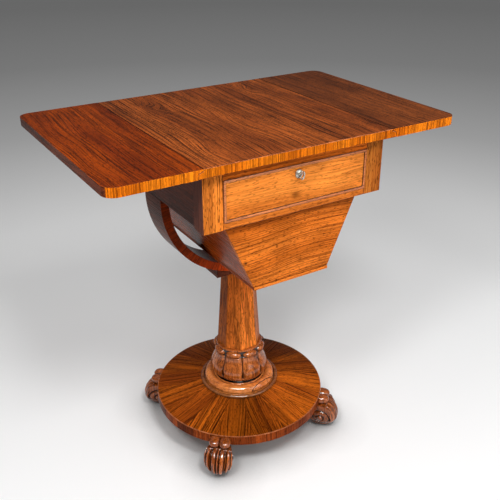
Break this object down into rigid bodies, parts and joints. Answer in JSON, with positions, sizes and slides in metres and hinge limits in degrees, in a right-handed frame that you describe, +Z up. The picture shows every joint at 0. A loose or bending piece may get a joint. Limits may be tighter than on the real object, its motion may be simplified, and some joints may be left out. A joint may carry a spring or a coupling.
{
  "type": "drop-leaf pedestal work table",
  "caption": "Rosewood pedestal work table with rule-jointed drop leaves, a locking drawer and a sliding tapered well inside a U-shaped yoke, on a round platform with carved scroll feet.",
  "frame": {"origin": "on the floor, under the column's axis at the middle of the footprint", "axes": "+Z up, -Y towards the drawer front and the sitter, +X to the sitter's right as they face the drawer, along the line of the leaves"},
  "size_m": [0.727, 0.463, 0.735],
  "materials": {
    "rosewood": "french polished, figured",
    "rosewood_dark": "french polished, dark",
    "secondary_oak": "plain, unpolished",
    "brass": "dull",
    "steel": "polished"
  },
  "bodies": {
    "case": {"base_disc": "rosewood", "foot_front_left": "rosewood", "foot_front_right": "rosewood", "foot_back_left": "rosewood", "foot_back_right": "rosewood", "base_ring": "rosewood_dark", "lotus_collar": "rosewood", "column": "rosewood", "saddle_block": "rosewood_dark", "yoke": "rosewood", "post_front_left": "rosewood", "post_front_right": "rosewood", "post_back_left": "rosewood", "post_back_right": "rosewood", "case_side_left": "rosewood_dark", "case_side_right": "rosewood_dark", "back_panel": "rosewood", "back_bead": "rosewood", "top_rail": "rosewood_dark", "runner_left": "secondary_oak", "runner_right": "secondary_oak", "bearer_left": "secondary_oak", "bearer_right": "secondary_oak", "fly_rail_left": "rosewood_dark", "fly_rail_right": "rosewood_dark", "fly_pin_left": "steel", "fly_pin_right": "steel", "top_centre": "rosewood", "hinge_top_front_left": "brass", "hinge_top_front_right": "brass", "hinge_top_back_left": "brass", "hinge_top_back_right": "brass"},
    "left_leaf": {"leaf_left": "rosewood", "hinge_leaf_front_left": "brass", "hinge_leaf_back_left": "brass"},
    "right_leaf": {"leaf_right": "rosewood", "hinge_leaf_front_right": "brass", "hinge_leaf_back_right": "brass"},
    "left_fly": {"fly_bracket_left": "rosewood_dark"},
    "right_fly": {"fly_bracket_right": "rosewood_dark"},
    "drawer": {"drawer_front": "rosewood", "drawer_bead": "rosewood", "drawer_side_left": "secondary_oak", "drawer_side_right": "secondary_oak", "drawer_back": "secondary_oak", "drawer_bottom": "secondary_oak", "lock_case": "brass", "escutcheon": "steel"},
    "bolt": {"lock_bolt": "steel"},
    "key": {"key": "steel"},
    "well": {"well_rail": "rosewood", "well_bar_left": "secondary_oak", "well_bar_right": "secondary_oak", "well_back_rail": "secondary_oak", "well_front": "rosewood", "well_back": "rosewood", "well_side_left": "rosewood_dark", "well_side_right": "rosewood_dark", "well_bottom": "rosewood"}
  },
  "joints": [
    {"name": "left_leaf_drop", "type": "hinge", "parent": "case", "child": "left_leaf", "pos_m": [-0.198, 0, 0.72], "axis": [0, 1, 0], "range_deg": [-90, 0]},
    {"name": "right_leaf_drop", "type": "hinge", "parent": "case", "child": "right_leaf", "pos_m": [0.198, 0, 0.72], "axis": [0, -1, 0], "range_deg": [-90, 0]},
    {"name": "left_fly_swing", "type": "hinge", "parent": "case", "child": "left_fly", "pos_m": [-0.18, 0.035, 0.6907], "axis": [0, 0, -1], "range_deg": [0, 90]},
    {"name": "right_fly_swing", "type": "hinge", "parent": "case", "child": "right_fly", "pos_m": [0.18, -0.035, 0.6907], "axis": [0, 0, -1], "range_deg": [0, 90]},
    {"name": "drawer_slide", "type": "slide", "parent": "case", "child": "drawer", "axis": [0, -1, 0], "range_m": [0, 0.26]},
    {"name": "well_slide", "type": "slide", "parent": "case", "child": "well", "axis": [0, -1, 0], "range_m": [0, 0.28]},
    {"name": "key_turn", "type": "hinge", "parent": "drawer", "child": "key", "pos_m": [0, -0.2135, 0.682], "axis": [0, 1, 0], "range_deg": [0, 180]},
    {"name": "bolt_throw", "type": "slide", "parent": "drawer", "child": "bolt", "axis": [0, 0, 1], "range_m": [0, 0.006]}
  ],
  "couplings": [
    {"joint": "key_turn", "follows": "bolt_throw", "rad_per_m": 523.5}
  ]
}
